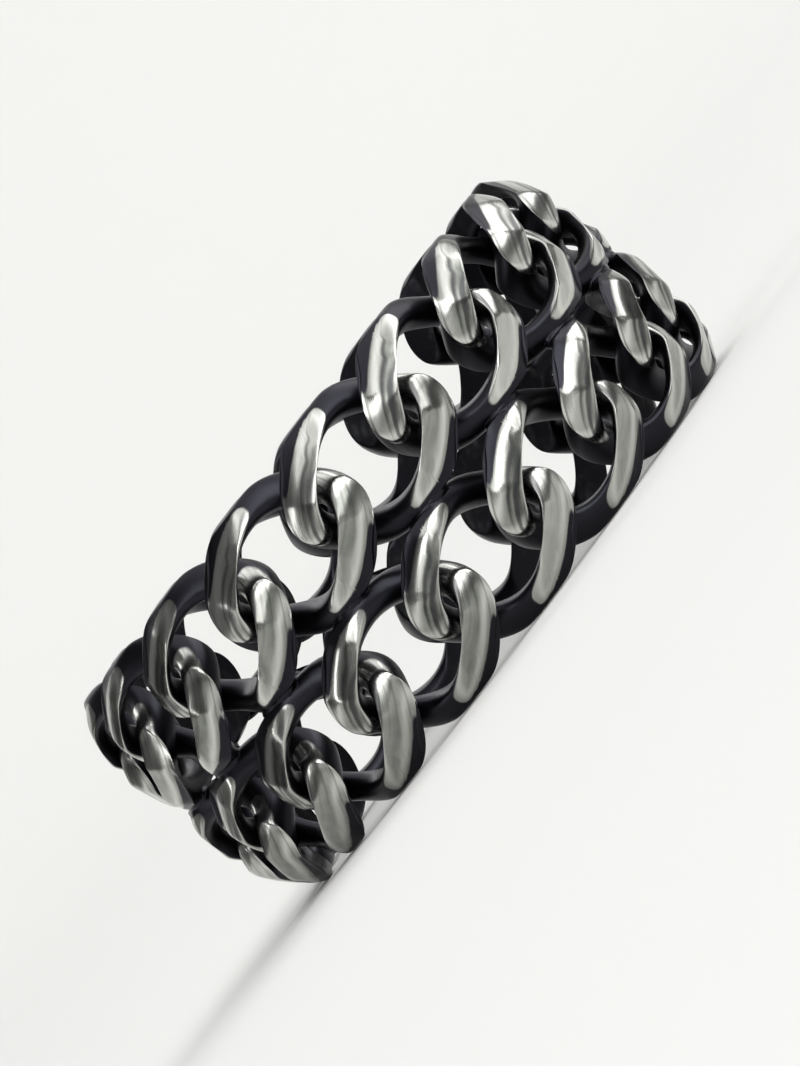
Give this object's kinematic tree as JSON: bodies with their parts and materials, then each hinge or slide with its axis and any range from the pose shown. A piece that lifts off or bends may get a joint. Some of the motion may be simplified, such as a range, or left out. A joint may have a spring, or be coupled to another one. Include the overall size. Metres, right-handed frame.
{
  "type": "chain link ring",
  "caption": "Wide finger ring made of two rows of twisted, flat-cut oval chain links, soldered side by side and blackened.",
  "frame": {"origin": "centre of the finger hollow, on the plane that the ring's lower edge rests on", "axes": "+Z along the finger hollow, upright; -Y is the side that the picture shows"},
  "size_m": [0.0226, 0.0226, 0.0093],
  "materials": {
    "oxidised_silver": "blackened in the recesses, satin and worn bright on the outer faces"
  },
  "bodies": {
    "root": {"link_pair_01": "oxidised_silver", "link_pair_02": "oxidised_silver", "link_pair_03": "oxidised_silver", "link_pair_04": "oxidised_silver", "link_pair_05": "oxidised_silver", "link_pair_06": "oxidised_silver", "link_pair_07": "oxidised_silver", "link_pair_08": "oxidised_silver", "link_pair_09": "oxidised_silver", "link_pair_10": "oxidised_silver", "link_pair_11": "oxidised_silver", "link_pair_12": "oxidised_silver", "link_pair_13": "oxidised_silver", "link_pair_14": "oxidised_silver", "link_pair_15": "oxidised_silver", "link_pair_16": "oxidised_silver", "link_pair_17": "oxidised_silver"}
  },
  "joints": []
}
